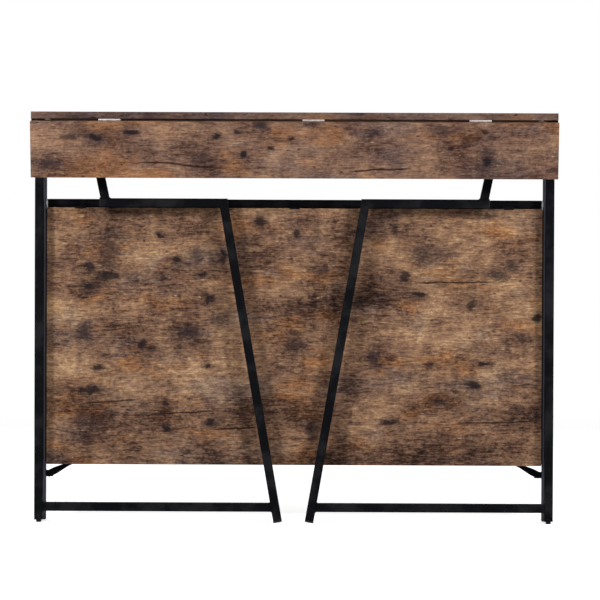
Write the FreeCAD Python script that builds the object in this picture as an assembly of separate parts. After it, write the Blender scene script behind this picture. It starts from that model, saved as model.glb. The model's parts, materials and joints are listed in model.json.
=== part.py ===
# Folding desk, stored flat: a shelf with a drop flap, a hanging desktop and two swing frames.
# Millimetres. X runs along the desk, +Y points to the back, Z is up, and the floor is Z = 0.
import FreeCAD, Part
import math
import os

# Boards
BOARD_WIDTH = 1200.0
BOARD_THICK = 16.0
SHELF_TOP = 944.0
FLAP_DEPTH = 128.5
DESKTOP_DEPTH = 598.5
EDGE_ROUND = 1.0

# Square tube of the frames
TUBE = 20.0
TUBE_WALL = 1.2
TUBE_ROUND = 2.4

# Depth of the folded stack, and how far the posts stand in front of the rear legs
FOLDED_DEPTH = 190.0
POST_LEAD = 64.0

# Swing frame, measured inwards from the post's centre line
BAR_HEIGHT = 740.0
BOTTOM_BAR_HEIGHT = 36.0
LEG_FOOT_MIDDLE_GAP = 36.0
LEG_LEAN = 128.0
ARM_FOOT_REACH = 153.7
ARM_LEAN = 33.9
ARM_TOP_DROP = 12.0
LEG_FOOT_THICK = 4.0
END_CAP_THICK = 2.0
BUMPER_RADIUS = 6.0
BUMPER_SETBACK = 7.8
BUMPER_DROP = 1.6
TAB_SHARES = (0.55, 0.90)
TAB_LENGTH = 30.0
TAB_PROJECTION = 16.0
TAB_THICK = 3.0
TAB_ROUND = 4.0
SEAT_GAP = 0.3

# Posts, their pins and the plates that hold them
PLATE_THICK = 4.0
FOOT_PLATE_BASE = 6.0
POST_GAP = 0.8
POST_SWEEP_GAP = 0.4
PIN_RADIUS = 4.0
PIN_LENGTH = 22.0
RUNNING_FIT = 0.05
PLUG_FIT = 0.1
BEARER_MARGIN = 6.0
GLIDE_RADIUS = 6.0
REAR_FOOT_HEIGHT = 5.0
FOOT_ROUND = 2.5
SCREW_HEAD_RADIUS = 4.0
SCREW_HEAD_HEIGHT = 2.2
SHELF_SCREW_OFFSETS = (-45.0, 35.0)
SEAM_PAD_RADIUS = 7.0
SEAM_PAD_THICK = 2.6
SEAM_PAD_INSET = 38.0
SEAM_PAD_SETBACK = 10.0

# Pivot bar and the clips that hold the desktop to it
BAR_RADIUS = 10.0
BAR_WALL = 1.5
WASHER_THICK = 3.5
WASHER_ROUND = 1.5
BAR_PLUG_LENGTH = 30.0
BOLT_HEAD_RADIUS = 6.5
BOLT_HEAD_HEIGHT = 2.5
CLIP_SHARES = (-0.4155, 0.0, 0.4155)
CLIP_WIDTH = 24.0
CLIP_THICK = 3.0
CLIP_LENGTH = 70.0
CLIP_LIP_THICK = 1.5
CLIP_LIP_DROP = 2.0
CLIP_SCREW_PITCH = 30.0
DESKTOP_TOP_DROP = 10.5

# Strips that the folded desktop leans on
STOP_WIDTH = 8.0
STOP_THICK = 3.0
STOP_MARGIN = 2.0
STOP_TOP_GAP = 3.0

# Crossed brace: round bar with flattened ends, bolted to lugs on the rear legs
BRACE_LOW = 108.0
BRACE_DROP = 68.0
BRACE_RADIUS = 4.5
BRACE_GAP = 0.2
BRACE_FLAT_WIDTH = 16.0
BRACE_FLAT_THICK = 3.0
BRACE_FLAT_LENGTH = 16.0
BRACE_TAPER = 30.0
LUG_LENGTH = 17.0
LUG_HEIGHT = 15.0
LUG_THICK = 3.0
BRACE_BOLT_RADIUS = 3.0
BRACE_BOLT_HEAD = 5.0
BRACE_BOLT_HEAD_HEIGHT = 3.0

# Butt hinges between shelf and flap
HINGE_SHARES = (-0.351, 0.036, 0.3525)
HINGE_LENGTH = 50.0
KNUCKLES = 5
KNUCKLE_RADIUS = 3.0
KNUCKLE_GAP = 0.3
HINGE_PIN_RADIUS = 1.5
LEAF_THICK = 1.6
LEAF_DEPTH = 28.0
SEAM = 3.0

# Places worked out from the sizes above
HALF_TUBE = TUBE / 2.0
POST_X = BOARD_WIDTH / 2.0 - HALF_TUBE
REAR_Y = FOLDED_DEPTH / 2.0
LEG_Y = REAR_Y - HALF_TUBE
POST_Y = LEG_Y - POST_LEAD
FLAP_HANG = math.atan2(KNUCKLE_RADIUS + BOARD_THICK / 2.0, (SEAM + FLAP_DEPTH) / 2.0)
FLAP_FORE = (KNUCKLE_RADIUS + BOARD_THICK - EDGE_ROUND) * math.cos(FLAP_HANG)
FLAP_AFT = (SEAM / 2.0 + EDGE_ROUND) * math.sin(FLAP_HANG)
PIN_Y = FLAP_FORE - FLAP_AFT + EDGE_ROUND - FOLDED_DEPTH / 2.0
SHELF_BASE = SHELF_TOP - BOARD_THICK
PIN_Z = SHELF_BASE - KNUCKLE_RADIUS
BEARER_BASE = SHELF_BASE - PLATE_THICK
POST_BASE = FOOT_PLATE_BASE + PLATE_THICK + POST_GAP
POST_TOP = BEARER_BASE - POST_GAP
TOP_BAR_HEIGHT = PIN_Z - ARM_TOP_DROP - HALF_TUBE
LEG_INNER_X = POST_X - HALF_TUBE
LEG_FOOT_REACH = POST_X - LEG_FOOT_MIDDLE_GAP
LEG_TOP_REACH = LEG_FOOT_REACH - LEG_LEAN
ARM_TOP_REACH = ARM_FOOT_REACH - ARM_LEAN
POST_SWEEP = HALF_TUBE * math.sqrt(2.0) - TUBE_ROUND * (math.sqrt(2.0) - 1.0)
DESKTOP_HALF = POST_X - POST_SWEEP - POST_SWEEP_GAP
BRACE_HIGH = BAR_HEIGHT - BRACE_DROP
HINGE_POSITIONS = [share * BOARD_WIDTH for share in HINGE_SHARES]
CLIP_POSITIONS = [share * BOARD_WIDTH for share in CLIP_SHARES]
TAB_REACHES = [share * LEG_TOP_REACH for share in TAB_SHARES]
BAR_HALF = LEG_INNER_X - WASHER_THICK
DESKTOP_REAR_Y = LEG_Y - HALF_TUBE
DESKTOP_TOP_EDGE = BAR_HEIGHT - DESKTOP_TOP_DROP
DESKTOP_LOW_EDGE = DESKTOP_TOP_EDGE - DESKTOP_DEPTH
CLIP_WEB_TOP = DESKTOP_TOP_EDGE + CLIP_THICK
PIN_BORE = PIN_RADIUS + RUNNING_FIT
FAR = 2.0 * BOARD_WIDTH

UP = FreeCAD.Vector(0, 0, 1)
RIGHT = FreeCAD.Vector(1, 0, 0)
BACK = FreeCAD.Vector(0, 1, 0)
ORIGIN = FreeCAD.Vector(0, 0, 0)


def vec(x, y, z):
    return FreeCAD.Vector(x, y, z)


def block(low, high):
    """Box between two opposite corners."""
    return Part.makeBox(high.x - low.x, high.y - low.y, high.z - low.z, low)


def edges_along(shape, direction):
    """Straight edges of a shape that run along a direction."""
    found = []
    for edge in shape.Edges:
        if abs(edge.tangentAt(edge.FirstParameter).dot(direction)) > 0.999:
            found.append(edge)
    return found


def rounded_block(low, high, direction, radius):
    """Box with the edges along one direction rounded."""
    body = block(low, high)
    return body.makeFillet(radius, edges_along(body, direction))


def beam(start, end, size, corner):
    """Square bar with rounded edges from start to end, with two of its faces square to Y."""
    along = (end - start).normalize()
    length = (end - start).Length
    half = size / 2.0
    body = rounded_block(vec(-half, -half, 0), vec(half, half, length), UP, corner)
    turn = FreeCAD.Rotation(BACK.cross(along), BACK, along, "ZYX")
    body.Placement = FreeCAD.Placement(start, turn)
    return body


def tube(start, end):
    """Square tube, open at both ends."""
    past = (end - start).normalize() * TUBE_WALL
    outer = beam(start, end, TUBE, TUBE_ROUND)
    inner = beam(start - past, end + past, TUBE - 2.0 * TUBE_WALL, TUBE_ROUND - TUBE_WALL)
    return outer.cut(inner)


def trim(shape, point, away):
    """Cut off what lies beyond the plane through point, on the side that away points to."""
    side = Part.makeBox(FAR, FAR, FAR, vec(-FAR / 2.0, -FAR / 2.0, 0))
    side.Placement = FreeCAD.Placement(point, FreeCAD.Rotation(UP, away))
    return shape.cut(side)


def rod(start, end, radius):
    """Round bar from start to end."""
    return Part.makeCylinder(radius, (end - start).Length, start, end - start)


def post_rod(low, high, radius):
    """Round bar or bore on the axis of the left post."""
    return rod(vec(-POST_X, POST_Y, low), vec(-POST_X, POST_Y, high), radius)


def mirrored(shape):
    """The same piece on the right-hand side."""
    return shape.mirror(ORIGIN, RIGHT)


def pair(shape):
    """A piece on the left and its twin on the right, as one group of two solids."""
    return Part.makeCompound([shape, mirrored(shape)])


def group(shapes):
    return Part.makeCompound(shapes)


def tube_plug(base, height, bore):
    """Plastic plug inside the end of an upright tube, with a bore for a pin."""
    size = TUBE - 2.0 * (TUBE_WALL + PLUG_FIT)
    body = beam(base, base + UP * height, size, TUBE_ROUND - TUBE_WALL)
    return body.cut(rod(base, base + UP * height, bore))


# Rear frame: everything that stands still
def rear_leg():
    base = vec(-POST_X, LEG_Y, REAR_FOOT_HEIGHT)
    leg = tube(base, vec(-POST_X, LEG_Y, BEARER_BASE))
    outside = vec(-POST_X - TUBE, LEG_Y, BAR_HEIGHT)
    bolt_hole = rod(outside, outside + RIGHT * (2.0 * TUBE), PIN_BORE)
    return leg.cut(bolt_hole)


def rear_top_rail():
    """Tube that ties the rear legs together under the shelf."""
    height = BEARER_BASE - HALF_TUBE
    return tube(vec(-LEG_INNER_X, LEG_Y, height), vec(LEG_INNER_X, LEG_Y, height))


def rear_foot():
    low = vec(-POST_X - HALF_TUBE, LEG_Y - HALF_TUBE, 0)
    high = vec(-POST_X + HALF_TUBE, LEG_Y + HALF_TUBE, REAR_FOOT_HEIGHT)
    body = rounded_block(low, high, UP, TUBE_ROUND)
    rim = [edge for edge in body.Edges if edge.BoundBox.ZMax < EDGE_ROUND]
    return body.makeFillet(FOOT_ROUND - EDGE_ROUND, rim)


def shelf_bearer():
    """Flat bar on top of the rear leg, which reaches forward under the shelf over the post."""
    low = vec(-POST_X - HALF_TUBE, PIN_Y + BEARER_MARGIN, BEARER_BASE)
    high = vec(-POST_X + HALF_TUBE, REAR_Y, SHELF_BASE)
    bar = rounded_block(low, high, UP, TUBE_ROUND)
    return bar.cut(post_rod(BEARER_BASE, SHELF_BASE, PIN_BORE))


def foot_plate():
    """Flat bar from the rear leg to under the post."""
    top = FOOT_PLATE_BASE + PLATE_THICK
    low = vec(-POST_X - HALF_TUBE, POST_Y - HALF_TUBE, FOOT_PLATE_BASE)
    high = vec(-POST_X + HALF_TUBE, LEG_Y - HALF_TUBE, top)
    bar = rounded_block(low, high, UP, TUBE_ROUND)
    return bar.cut(post_rod(FOOT_PLATE_BASE, top, PIN_BORE))


def front_glide():
    body = post_rod(0, FOOT_PLATE_BASE, GLIDE_RADIUS)
    rim = [edge for edge in body.Edges if edge.BoundBox.ZMax < EDGE_ROUND]
    return body.makeFillet(EDGE_ROUND, rim)


def post_pins():
    """Pins that the posts turn on, one in each foot plate and one in each bearer."""
    low = post_rod(FOOT_PLATE_BASE, FOOT_PLATE_BASE + PIN_LENGTH, PIN_RADIUS)
    high = post_rod(SHELF_BASE - PIN_LENGTH, SHELF_BASE, PIN_RADIUS)
    return group([low, high, mirrored(low), mirrored(high)])


def shelf_board():
    front = PIN_Y + SEAM / 2.0
    low = vec(-BOARD_WIDTH / 2.0, front, SHELF_BASE)
    high = vec(BOARD_WIDTH / 2.0, REAR_Y, SHELF_TOP)
    return rounded_block(low, high, RIGHT, EDGE_ROUND)


def shelf_screws():
    """Screw heads under the bearers, in front of the posts and behind them."""
    heads = []
    for offset in SHELF_SCREW_OFFSETS:
        top = vec(-POST_X, POST_Y + offset, BEARER_BASE)
        head = rod(top - UP * SCREW_HEAD_HEIGHT, top, SCREW_HEAD_RADIUS)
        heads.extend([head, mirrored(head)])
    return group(heads)


def seam_pad():
    """Pale pad under the front edge of the shelf, behind the seam, near the corner."""
    centre = vec(-BOARD_WIDTH / 2.0 + SEAM_PAD_INSET, PIN_Y + SEAM_PAD_SETBACK, SHELF_BASE)
    body = rod(centre - UP * SEAM_PAD_THICK, centre, SEAM_PAD_RADIUS)
    rim = [edge for edge in body.Edges if edge.BoundBox.ZMax < SHELF_BASE - EDGE_ROUND]
    return body.makeFillet(EDGE_ROUND, rim)


def brace_ends(rise):
    """Bolt points of one brace bar, left then right. A rising bar is the front one of the two."""
    offset = BRACE_RADIUS + BRACE_GAP / 2.0
    y = LEG_Y - offset * rise
    bolt_x = LEG_INNER_X - LUG_LENGTH / 2.0
    left_z = BRACE_LOW if rise > 0 else BRACE_HIGH
    right_z = BRACE_HIGH if rise > 0 else BRACE_LOW
    return vec(-bolt_x, y, left_z), vec(bolt_x, y, right_z)


def flattened_end(bolt, along):
    """Flat eye round a bolt, and the taper from the flat to the round bar."""
    half_thick = BRACE_FLAT_THICK / 2.0
    half_wide = BRACE_FLAT_WIDTH / 2.0
    across = along.cross(BACK)
    eye = rod(bolt - BACK * half_thick, bolt + BACK * half_thick, half_wide)
    flat = block(vec(-half_wide, -half_thick, 0), vec(half_wide, half_thick, BRACE_FLAT_LENGTH))
    flat.Placement = FreeCAD.Placement(bolt, FreeCAD.Rotation(across, BACK, along, "ZYX"))
    neck = bolt + along * BRACE_FLAT_LENGTH
    shoulder = neck + along * BRACE_TAPER
    narrow = Part.Ellipse(neck + across * half_wide, neck + BACK * half_thick, neck)
    circle = Part.Circle(shoulder, along, BRACE_RADIUS)
    wires = [Part.Wire([narrow.toShape()]), Part.Wire([circle.toShape()])]
    taper = Part.makeLoft(wires, True, True)
    hole = rod(bolt - BACK * TUBE, bolt + BACK * TUBE, BRACE_BOLT_RADIUS + RUNNING_FIT)
    return eye.fuse([flat, taper]).cut(hole), shoulder


def brace_bar(rise):
    left, right = brace_ends(rise)
    along = (right - left).normalize()
    left_end, left_shoulder = flattened_end(left, along)
    right_end, right_shoulder = flattened_end(right, along * -1.0)
    return left_end.fuse([rod(left_shoulder, right_shoulder, BRACE_RADIUS), right_end]).removeSplitter()


def brace_fixings():
    """Lugs on the inner faces of the rear legs, and the bolts through lugs and brace ends."""
    lugs = []
    bolts = []
    for rise in (1.0, -1.0):
        for bolt in brace_ends(rise):
            side = -1.0 if bolt.x < 0 else 1.0
            face = bolt.y + rise * BRACE_FLAT_THICK / 2.0
            back = face + rise * LUG_THICK
            inner = side * (LEG_INNER_X - LUG_LENGTH)
            outer = side * LEG_INNER_X
            low = vec(min(inner, outer), min(face, back), bolt.z - LUG_HEIGHT / 2.0)
            high = vec(max(inner, outer), max(face, back), bolt.z + LUG_HEIGHT / 2.0)
            hole = rod(bolt - BACK * TUBE, bolt + BACK * TUBE, BRACE_BOLT_RADIUS + RUNNING_FIT)
            lugs.append(block(low, high).cut(hole))
            seat = vec(bolt.x, back, bolt.z)
            tip = vec(bolt.x, bolt.y - rise * BRACE_FLAT_THICK / 2.0, bolt.z)
            head = rod(seat, seat + BACK * (rise * BRACE_BOLT_HEAD_HEIGHT), BRACE_BOLT_HEAD)
            bolts.append(head.fuse(rod(seat, tip, BRACE_BOLT_RADIUS)))
    return group(lugs), group(bolts)


def desktop_stop():
    """Strip on the inner face of the rear leg, which the folded desktop leans on."""
    face = DESKTOP_REAR_Y + SEAT_GAP
    low = vec(-LEG_INNER_X, face, DESKTOP_LOW_EDGE + STOP_MARGIN)
    high = vec(-LEG_INNER_X + STOP_WIDTH, face + STOP_THICK, BAR_HEIGHT - BAR_RADIUS - STOP_TOP_GAP)
    return block(low, high)


def pivot_bolt():
    """Bolt through the rear leg and the washer into the plug of the pivot bar."""
    outside = vec(-POST_X - HALF_TUBE, LEG_Y, BAR_HEIGHT)
    inside = vec(-BAR_HALF + BAR_PLUG_LENGTH, LEG_Y, BAR_HEIGHT)
    head = rod(outside - RIGHT * BOLT_HEAD_HEIGHT, outside, BOLT_HEAD_RADIUS)
    rim = [edge for edge in head.Edges if edge.BoundBox.XMax < outside.x - EDGE_ROUND]
    return head.makeFillet(EDGE_ROUND, rim).fuse(rod(outside, inside, PIN_RADIUS))


def pivot_washer():
    start = vec(-LEG_INNER_X, LEG_Y, BAR_HEIGHT)
    end = vec(-BAR_HALF, LEG_Y, BAR_HEIGHT)
    body = rod(start, end, BAR_RADIUS)
    rim = [edge for edge in body.Edges if edge.BoundBox.XMax < start.x + EDGE_ROUND]
    return body.makeFillet(WASHER_ROUND, rim).cut(rod(start, end, PIN_BORE))


# Hinges: the knuckles of the two leaves take turns along the pin
def knuckle_span(centre, index):
    pitch = HINGE_LENGTH / KNUCKLES
    start = centre - HINGE_LENGTH / 2.0 + index * pitch
    return start + KNUCKLE_GAP / 2.0, start + pitch - KNUCKLE_GAP / 2.0


def hinge_leaf(centre, plate, first):
    """Leaf plate with every second knuckle, starting at first, cut clear of the other leaf's knuckles."""
    leaf = plate
    for index in range(first, KNUCKLES, 2):
        start, end = knuckle_span(centre, index)
        leaf = leaf.fuse(rod(vec(start, PIN_Y, PIN_Z), vec(end, PIN_Y, PIN_Z), KNUCKLE_RADIUS))
    for index in range(1 - first, KNUCKLES, 2):
        start, end = knuckle_span(centre, index)
        low = vec(start - KNUCKLE_GAP, PIN_Y, PIN_Z)
        high = vec(end + KNUCKLE_GAP, PIN_Y, PIN_Z)
        leaf = leaf.cut(rod(low, high, KNUCKLE_RADIUS + KNUCKLE_GAP))
    half = RIGHT * HINGE_LENGTH
    axis = vec(centre, PIN_Y, PIN_Z)
    return leaf.cut(rod(axis - half, axis + half, HINGE_PIN_RADIUS + RUNNING_FIT))


def hanging(shape):
    """Turn a piece of the flap about the pin until the flap's weight hangs straight below it."""
    turned = shape.copy()
    turned.rotate(vec(0, PIN_Y, PIN_Z), RIGHT, math.degrees(FLAP_HANG))
    return turned


def fixed_leaf(centre):
    low = vec(centre - HINGE_LENGTH / 2.0, PIN_Y, SHELF_BASE - LEAF_THICK)
    high = vec(centre + HINGE_LENGTH / 2.0, PIN_Y + LEAF_DEPTH, SHELF_BASE)
    return hinge_leaf(centre, block(low, high), 0)


def flap_leaf(centre):
    front = PIN_Y - KNUCKLE_RADIUS
    low = vec(centre - HINGE_LENGTH / 2.0, front, PIN_Z - LEAF_DEPTH)
    high = vec(centre + HINGE_LENGTH / 2.0, front + LEAF_THICK, PIN_Z)
    return hanging(hinge_leaf(centre, block(low, high), 1))


def hinge_pin(centre):
    half = RIGHT * (HINGE_LENGTH / 2.0)
    axis = vec(centre, PIN_Y, PIN_Z)
    return rod(axis - half, axis + half, HINGE_PIN_RADIUS)


def flap_board():
    back = PIN_Y - KNUCKLE_RADIUS
    top = PIN_Z - SEAM / 2.0
    low = vec(-BOARD_WIDTH / 2.0, back - BOARD_THICK, top - FLAP_DEPTH)
    high = vec(BOARD_WIDTH / 2.0, back, top)
    return hanging(rounded_block(low, high, RIGHT, EDGE_ROUND))


# Desktop and the bar that it hangs from
def desktop_panel():
    low = vec(-DESKTOP_HALF, DESKTOP_REAR_Y - BOARD_THICK, DESKTOP_LOW_EDGE)
    high = vec(DESKTOP_HALF, DESKTOP_REAR_Y, DESKTOP_TOP_EDGE)
    return rounded_block(low, high, RIGHT, EDGE_ROUND)


def pivot_bar():
    left = vec(-BAR_HALF, LEG_Y, BAR_HEIGHT)
    right = vec(BAR_HALF, LEG_Y, BAR_HEIGHT)
    return rod(left, right, BAR_RADIUS).cut(rod(left, right, BAR_RADIUS - BAR_WALL))


def bar_plug():
    start = vec(-BAR_HALF, LEG_Y, BAR_HEIGHT)
    end = vec(-BAR_HALF + BAR_PLUG_LENGTH, LEG_Y, BAR_HEIGHT)
    body = rod(start, end, BAR_RADIUS - BAR_WALL - RUNNING_FIT)
    return body.cut(rod(start, end, PIN_BORE))


def bar_clip(centre):
    """Clip welded to the bar: a strap down the desktop's back, a web over its edge, a lip in front."""
    left = centre - CLIP_WIDTH / 2.0
    right = centre + CLIP_WIDTH / 2.0
    front = DESKTOP_REAR_Y - BOARD_THICK
    strap_low = vec(left, DESKTOP_REAR_Y, DESKTOP_TOP_EDGE - CLIP_LENGTH)
    strap = block(strap_low, vec(right, DESKTOP_REAR_Y + CLIP_THICK, BAR_HEIGHT))
    web_low = vec(left, front - CLIP_LIP_THICK, DESKTOP_TOP_EDGE)
    web = block(web_low, vec(right, DESKTOP_REAR_Y + CLIP_THICK, CLIP_WEB_TOP))
    lip_low = vec(left, front - CLIP_LIP_THICK, DESKTOP_TOP_EDGE - CLIP_LIP_DROP)
    lip = block(lip_low, vec(right, front, CLIP_WEB_TOP))
    bar = rod(vec(left, LEG_Y, BAR_HEIGHT), vec(right, LEG_Y, BAR_HEIGHT), BAR_RADIUS)
    return strap.fuse([web, lip]).cut(bar).removeSplitter()


def clip_screws():
    heads = []
    for centre in CLIP_POSITIONS:
        for index in range(2):
            drop = CLIP_LENGTH - CLIP_WIDTH / 2.0 - index * CLIP_SCREW_PITCH
            seat = vec(centre, DESKTOP_REAR_Y + CLIP_THICK, DESKTOP_TOP_EDGE - drop)
            heads.append(rod(seat, seat + BACK * SCREW_HEAD_HEIGHT, SCREW_HEAD_RADIUS))
    return group(heads)


# Left swing frame, folded: reach runs from the post towards the middle of the desk
def at(reach, height):
    return vec(-POST_X + reach, POST_Y, height)


LEG_SLOPE = (LEG_FOOT_REACH - LEG_TOP_REACH) / BAR_HEIGHT
ARM_SLOPE = (ARM_FOOT_REACH - ARM_TOP_REACH) / (TOP_BAR_HEIGHT - BAR_HEIGHT)
LEG_DOWN = vec(LEG_SLOPE, 0, -1).normalize()
ARM_DOWN = vec(ARM_SLOPE, 0, -1).normalize()
LEG_OUT = BACK.cross(LEG_DOWN)
ARM_OUT = BACK.cross(ARM_DOWN)
LEG_CORNER = at(LEG_TOP_REACH, BAR_HEIGHT)
ARM_CORNER = at(ARM_TOP_REACH, TOP_BAR_HEIGHT)
LEG_FOOT = at(LEG_FOOT_REACH, 0) - LEG_DOWN * (abs(LEG_OUT.z) * HALF_TUBE / abs(LEG_DOWN.z))
MID_BAR_END = ARM_FOOT_REACH - ARM_SLOPE * HALF_TUBE - HALF_TUBE / abs(ARM_DOWN.z)


def mitre(shape, corner, arriving, leaving, first):
    """Cut one of two tubes that meet at a corner on the plane between them."""
    normal = (arriving + leaving).normalize()
    return trim(shape, corner, normal if first else normal * -1.0)


def post():
    return tube(vec(-POST_X, POST_Y, POST_BASE), vec(-POST_X, POST_Y, POST_TOP))


def bottom_bar():
    bar = tube(at(HALF_TUBE, BOTTOM_BAR_HEIGHT), at(LEG_FOOT_REACH, BOTTOM_BAR_HEIGHT))
    return trim(bar, LEG_FOOT + LEG_OUT * HALF_TUBE, LEG_OUT * -1.0)


def front_leg():
    leg = tube(LEG_CORNER - LEG_DOWN * TUBE, LEG_FOOT - LEG_DOWN * LEG_FOOT_THICK)
    return mitre(leg, LEG_CORNER, RIGHT, LEG_DOWN, False)


def leg_foot():
    return beam(LEG_FOOT - LEG_DOWN * LEG_FOOT_THICK, LEG_FOOT, TUBE, TUBE_ROUND)


def mid_bar():
    bar = tube(at(MID_BAR_END, BAR_HEIGHT), LEG_CORNER + RIGHT * TUBE)
    return mitre(bar, LEG_CORNER, RIGHT, LEG_DOWN, True)


def mid_bar_cap():
    return beam(at(MID_BAR_END - END_CAP_THICK, BAR_HEIGHT), at(MID_BAR_END, BAR_HEIGHT), TUBE, TUBE_ROUND)


def arm():
    limb = tube(ARM_CORNER - ARM_DOWN * TUBE, at(ARM_FOOT_REACH, BAR_HEIGHT))
    limb = mitre(limb, ARM_CORNER, RIGHT, ARM_DOWN, False)
    return trim(limb, at(ARM_FOOT_REACH, BAR_HEIGHT + HALF_TUBE), UP * -1.0)


def top_bar():
    bar = tube(at(HALF_TUBE, TOP_BAR_HEIGHT), ARM_CORNER + RIGHT * TUBE)
    return mitre(bar, ARM_CORNER, RIGHT, ARM_DOWN, True)


def bumper():
    """Rubber button at the front of the top bar, which comes up under the raised flap."""
    seat = at(ARM_TOP_REACH - BUMPER_SETBACK, TOP_BAR_HEIGHT + HALF_TUBE)
    top = vec(seat.x, seat.y, PIN_Z - BUMPER_DROP)
    body = rod(seat, top, BUMPER_RADIUS)
    rim = [edge for edge in body.Edges if edge.BoundBox.ZMin > top.z - EDGE_ROUND / 2.0]
    return body.makeFillet(EDGE_ROUND, rim)


def support_tabs():
    """Tabs on the back of the mid bar, which point under the desktop when the frame stands square."""
    tabs = []
    top = BAR_HEIGHT + HALF_TUBE - SEAT_GAP
    for reach in TAB_REACHES:
        low = at(reach - TAB_LENGTH / 2.0, top - TAB_THICK) + BACK * HALF_TUBE
        high = at(reach + TAB_LENGTH / 2.0, top) + BACK * (HALF_TUBE + TAB_PROJECTION)
        plate = block(low, high)
        tip = [edge for edge in edges_along(plate, UP) if edge.BoundBox.YMin > low.y + TAB_ROUND]
        tabs.append(plate.makeFillet(TAB_ROUND, tip))
    return group(tabs)


def post_bushes():
    low = tube_plug(vec(-POST_X, POST_Y, POST_BASE), PIN_LENGTH, PIN_BORE)
    high = tube_plug(vec(-POST_X, POST_Y, POST_TOP - PIN_LENGTH), PIN_LENGTH, PIN_BORE)
    return group([low, high])


SWING_FRAME = {
    "post": post,
    "post_bushes": post_bushes,
    "bottom_bar": bottom_bar,
    "front_leg": front_leg,
    "leg_foot": leg_foot,
    "mid_bar": mid_bar,
    "mid_bar_cap": mid_bar_cap,
    "arm": arm,
    "top_bar": top_bar,
    "bumper": bumper,
    "support_tabs": support_tabs,
}


def all_nodes():
    lugs, bolts = brace_fixings()
    leg = rear_leg()
    bearer = shelf_bearer()
    plate = foot_plate()
    nodes = {
        "rear_leg_left": leg,
        "rear_leg_right": mirrored(leg),
        "rear_top_rail": rear_top_rail(),
        "rear_feet": pair(rear_foot()),
        "shelf_bearer_left": bearer,
        "shelf_bearer_right": mirrored(bearer),
        "foot_plate_left": plate,
        "foot_plate_right": mirrored(plate),
        "front_glides": pair(front_glide()),
        "post_pins": post_pins(),
        "shelf_board": shelf_board(),
        "shelf_screws": shelf_screws(),
        "seam_pads": pair(seam_pad()),
        "brace_rising": brace_bar(1.0),
        "brace_falling": brace_bar(-1.0),
        "brace_lugs": lugs,
        "brace_bolts": bolts,
        "desktop_stops": pair(desktop_stop()),
        "pivot_bolts": pair(pivot_bolt()),
        "pivot_washers": pair(pivot_washer()),
        "hinge_fixed_leaves": group([fixed_leaf(centre) for centre in HINGE_POSITIONS]),
        "hinge_pins": group([hinge_pin(centre) for centre in HINGE_POSITIONS]),
        "hinge_flap_leaves": group([flap_leaf(centre) for centre in HINGE_POSITIONS]),
        "flap_board": flap_board(),
        "desktop_panel": desktop_panel(),
        "pivot_bar": pivot_bar(),
        "bar_plugs": pair(bar_plug()),
        "bar_clips": group([bar_clip(centre) for centre in CLIP_POSITIONS]),
        "clip_screws": clip_screws(),
    }
    for name, make in SWING_FRAME.items():
        piece = make()
        nodes["left_" + name] = piece
        nodes["right_" + name] = mirrored(piece)
    return nodes


def main():
    os.makedirs("parts", exist_ok=True)
    for name, shape in all_nodes().items():
        shape.exportStep("parts/" + name + ".step")


main()
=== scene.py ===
"""Looks of the folding desk: materials, welds, fixings, studio and camera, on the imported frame."""

import json
import math

import bpy
from mathutils import Matrix, Vector


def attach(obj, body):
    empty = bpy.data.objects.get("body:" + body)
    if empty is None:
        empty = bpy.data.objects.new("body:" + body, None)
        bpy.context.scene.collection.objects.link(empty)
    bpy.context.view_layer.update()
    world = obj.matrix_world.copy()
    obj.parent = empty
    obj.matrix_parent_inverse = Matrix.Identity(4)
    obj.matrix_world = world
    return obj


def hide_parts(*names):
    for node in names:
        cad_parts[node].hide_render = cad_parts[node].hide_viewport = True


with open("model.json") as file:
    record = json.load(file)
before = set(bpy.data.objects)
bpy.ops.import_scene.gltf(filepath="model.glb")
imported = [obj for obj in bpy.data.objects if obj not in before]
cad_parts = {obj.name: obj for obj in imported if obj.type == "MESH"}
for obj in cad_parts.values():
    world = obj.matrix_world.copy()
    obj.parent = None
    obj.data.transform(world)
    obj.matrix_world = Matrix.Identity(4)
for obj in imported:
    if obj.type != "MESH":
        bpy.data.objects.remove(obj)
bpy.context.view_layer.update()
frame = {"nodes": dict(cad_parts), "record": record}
nodes = frame["nodes"]


# Shader helpers
LAYER_STEP = (7.31, 3.77, 5.13)


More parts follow.
